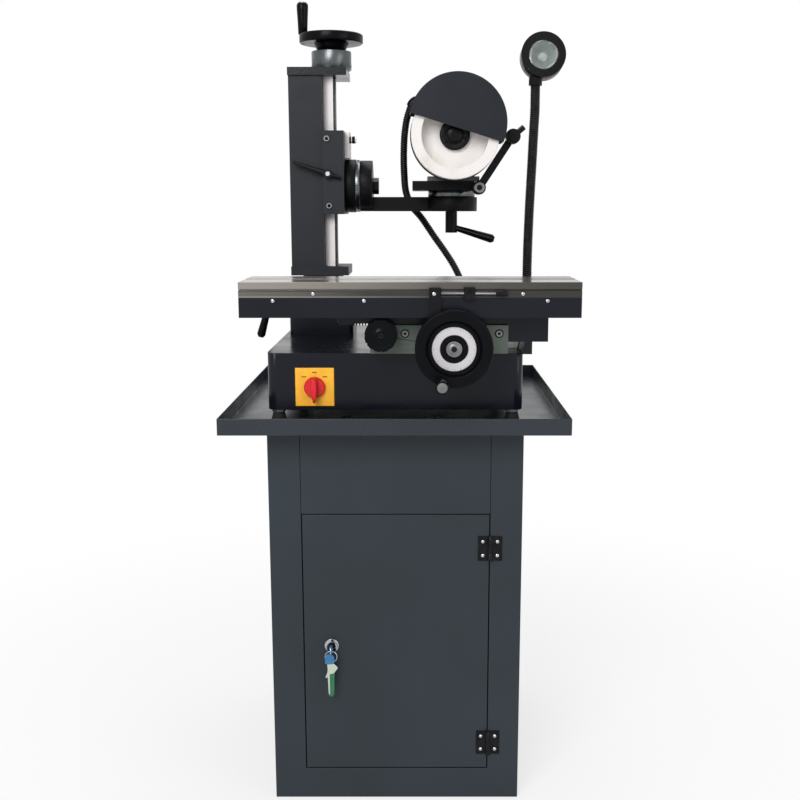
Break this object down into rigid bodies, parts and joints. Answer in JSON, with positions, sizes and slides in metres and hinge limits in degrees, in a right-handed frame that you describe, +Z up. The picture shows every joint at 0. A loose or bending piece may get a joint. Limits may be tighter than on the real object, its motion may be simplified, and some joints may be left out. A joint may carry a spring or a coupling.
{
  "type": "tool and cutter grinder",
  "caption": "Free-standing tool and cutter grinder: cup wheel on a tilting, swivelling arm on a column lift, above a cross-slide table with T-slot, drip tray and cabinet stand with lamp.",
  "frame": {"origin": "middle of the cabinet's underside", "axes": "+X along the table to the operator's right, +Y away from the operator, +Z up"},
  "size_m": [0.5675, 0.6518, 1.3751],
  "materials": {
    "cabinet_paint": "satin slate grey paint",
    "black_paint": "gloss black paint",
    "guard_paint": "slate grey paint",
    "black_steel": "black oxide",
    "black_plastic": "moulded black",
    "ground_steel": "ground",
    "lock_chrome": "plated",
    "key_plastic": "blue",
    "tag_plastic": "green",
    "switch_yellow": "yellow",
    "switch_red": "red",
    "foot_rubber": "moulded",
    "nut_bronze": "cast",
    "motor_alloy": "cast",
    "abrasive": "white grit",
    "hose_plastic": "ribbed black",
    "lamp_shell": "black",
    "lamp_glass": "clear"
  },
  "bodies": {
    "stand": {"cabinet_shell": "cabinet_paint", "front_panel": "cabinet_paint", "frame_hinges": "black_steel", "drip_tray": "cabinet_paint", "base_box": "black_paint", "base_feet": "foot_rubber", "switch_plate": "switch_yellow", "column_pedestal": "black_paint", "cross_ways": "ground_steel", "feed_nut": "nut_bronze", "column_post": "black_paint", "column_cap": "black_paint", "column_way": "ground_steel", "conduit": "hose_plastic"},
    "door": {"cabinet_door": "cabinet_paint", "door_hinges": "black_steel", "hinge_pins": "ground_steel", "lock_body": "lock_chrome"},
    "lock": {"lock_plug": "lock_chrome", "door_key": "key_plastic"},
    "keys": {"key_bunch": "tag_plastic"},
    "switch": {"switch_knob": "switch_red"},
    "column_clamp": {"column_lever": "black_plastic"},
    "lift_drive": {"lift_screw": "ground_steel", "lift_dial": "ground_steel", "lift_wheel": "black_plastic"},
    "lift_grip": {"lift_handle": "black_plastic"},
    "slide": {"carriage": "black_paint", "index_plate": "ground_steel", "tilt_plate": "black_paint", "tilt_ring": "ground_steel", "tilt_bolt": "black_steel"},
    "slide_clamp": {"slide_lever": "black_steel"},
    "arm": {"tilt_arm": "black_paint", "swivel_collar": "ground_steel"},
    "head_clamp": {"head_lever": "black_plastic"},
    "head": {"head_plate": "black_paint", "motor_body": "motor_alloy", "motor_bell": "black_steel", "terminal_box": "black_plastic", "rest_bolt": "black_steel"},
    "rotor": {"spindle": "ground_steel", "grinding_wheel": "abrasive", "wheel_flange": "black_steel"},
    "guard": {"wheel_guard": "guard_paint"},
    "rest": {"rest_rod": "black_steel"},
    "rest_end": {"rest_clamp": "black_steel"},
    "cross_slide": {"saddle": "black_paint", "apron_plate": "ground_steel", "stop_post": "black_steel", "lamp_neck": "hose_plastic", "lamp_head": "lamp_shell", "lamp_lens": "lamp_glass"},
    "feed_drive": {"feed_screw": "ground_steel", "feed_wheel": "black_plastic"},
    "feed_grip": {"feed_handle": "black_plastic"},
    "traverse": {"traverse_knob": "black_plastic"},
    "table": {"table_bed": "black_paint", "table_top": "ground_steel", "stop_dog": "black_steel"}
  },
  "joints": [
    {"name": "door_hinge", "type": "hinge", "parent": "stand", "child": "door", "pos_m": [0.157, -0.2215, 0.3], "axis": [0, 0, 1], "range_deg": [0, 110]},
    {"name": "lock_turn", "type": "hinge", "parent": "door", "child": "lock", "pos_m": [-0.109, -0.2175, 0.282], "axis": [0, 1, 0], "range_deg": [0, 90]},
    {"name": "key_swing", "type": "hinge", "parent": "lock", "child": "keys", "pos_m": [-0.109, -0.2385, 0.282], "axis": [1, 0, 0], "range_deg": [-60, 0]},
    {"name": "switch_turn", "type": "hinge", "parent": "stand", "child": "switch", "pos_m": [-0.13, -0.22, 0.7265], "axis": [0, 1, 0], "range_deg": [-45, 45]},
    {"name": "column_clamp_turn", "type": "hinge", "parent": "stand", "child": "column_clamp", "pos_m": [-0.2, 0.07, 0.8435], "axis": [1, 0, 0], "range_deg": [-30, 45]},
    {"name": "lift_turn", "type": "hinge", "parent": "stand", "child": "lift_drive", "pos_m": [-0.12, 0.092, 1.3], "axis": [0, 0, 1], "range_deg": [-10201, 10801]},
    {"name": "lift", "type": "slide", "parent": "stand", "child": "slide", "axis": [0, 0, 1], "range_m": [-0.085, 0.09], "deforming": ["conduit"]},
    {"name": "lift_grip_spin", "type": "hinge", "parent": "lift_drive", "child": "lift_grip", "pos_m": [-0.171, 0.092, 1.34], "axis": [0, 0, 1], "continuous": true},
    {"name": "slide_clamp_turn", "type": "hinge", "parent": "slide", "child": "slide_clamp", "pos_m": [-0.124, 0.03, 1.071], "axis": [0, 1, 0], "range_deg": [-35, 35]},
    {"name": "arm_tilt", "type": "hinge", "parent": "slide", "child": "arm", "pos_m": [-0.05, 0.092, 1.051], "axis": [1, 0, 0], "range_deg": [-45, 45]},
    {"name": "head_clamp_turn", "type": "hinge", "parent": "arm", "child": "head_clamp", "pos_m": [0.099, 0.092, 0.99], "axis": [0, 0, 1], "range_deg": [-60, 60]},
    {"name": "head_swivel", "type": "hinge", "parent": "arm", "child": "head", "pos_m": [0.099, 0.092, 1.04], "axis": [0, 0, 1], "range_deg": [-30, 5]},
    {"name": "spindle_spin", "type": "hinge", "parent": "head", "child": "rotor", "pos_m": [0.1, 0, 1.1343], "axis": [0, 1, 0], "continuous": true},
    {"name": "guard_turn", "type": "hinge", "parent": "head", "child": "guard", "pos_m": [0.1, 0, 1.1343], "axis": [0, 1, 0], "range_deg": [-45, 5]},
    {"name": "rest_turn", "type": "hinge", "parent": "head", "child": "rest", "pos_m": [0.145, 0, 1.0463], "axis": [0, 1, 0], "range_deg": [0, 50]},
    {"name": "rest_end_turn", "type": "hinge", "parent": "rest", "child": "rest_end", "pos_m": [0.202, 0, 1.1333], "axis": [0, 1, 0], "range_deg": [-40, 60]},
    {"name": "cross", "type": "slide", "parent": "stand", "child": "cross_slide", "axis": [0, 1, 0], "range_m": [-0.03, 0.06]},
    {"name": "feed_turn", "type": "hinge", "parent": "cross_slide", "child": "feed_drive", "pos_m": [0.092, -0.3, 0.8], "axis": [0, 1, 0], "range_deg": [-5401, 10801]},
    {"name": "feed_grip_spin", "type": "hinge", "parent": "feed_drive", "child": "feed_grip", "pos_m": [0.07283, -0.33, 0.75005], "axis": [0, 1, 0], "continuous": true},
    {"name": "table_slide", "type": "slide", "parent": "cross_slide", "child": "table", "axis": [1, 0, 0], "range_m": [-0.034, 0.031]},
    {"name": "traverse_turn", "type": "hinge", "parent": "cross_slide", "child": "traverse", "pos_m": [-0.021, -0.25, 0.8158], "axis": [0, 1, 0], "range_deg": [-163, 149]}
  ],
  "couplings": [
    {"joint": "lift_turn", "follows": "lift", "rad_per_m": 2094.4},
    {"joint": "feed_turn", "follows": "cross", "rad_per_m": 3141.6},
    {"joint": "traverse_turn", "follows": "table_slide", "rad_per_m": 83.333}
  ]
}
